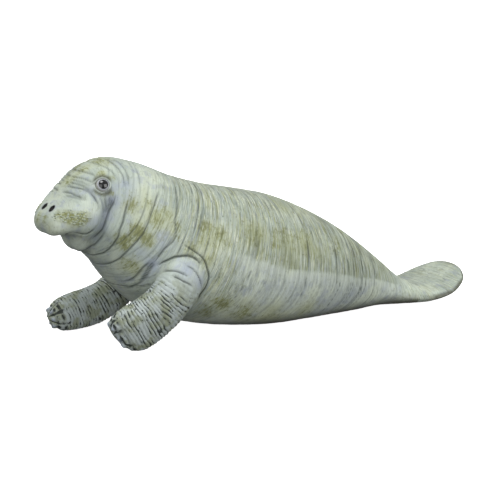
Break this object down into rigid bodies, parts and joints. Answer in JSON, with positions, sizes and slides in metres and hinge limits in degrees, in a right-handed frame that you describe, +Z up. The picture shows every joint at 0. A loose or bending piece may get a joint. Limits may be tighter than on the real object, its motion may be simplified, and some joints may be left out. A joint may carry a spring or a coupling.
{
  "type": "manatee toy figure",
  "caption": "Hand-painted moulded toy manatee lying on its belly, head raised and propped on both flippers, with wrinkled grey skin and a rounded tail paddle.",
  "frame": {"origin": "middle of the box's underside, on the surface the figure rests on", "axes": "+Z up, the head looks along -Y and the tail lies along +Y, the animal's left side is +X"},
  "size_m": [0.067, 0.195, 0.072],
  "materials": {
    "painted_skin": "satin hand-painted soft plastic: pale grey with olive dry-brushed streaks and a dark wash in the wrinkles",
    "eye_black": "gloss black paint"
  },
  "bodies": {
    "root": {"head": "painted_skin", "neck": "painted_skin", "torso": "painted_skin", "tail_stock": "painted_skin", "tail_paddle": "painted_skin", "flipper_left": "painted_skin", "flipper_right": "painted_skin", "eye_left": "eye_black", "eye_right": "eye_black"}
  },
  "joints": []
}
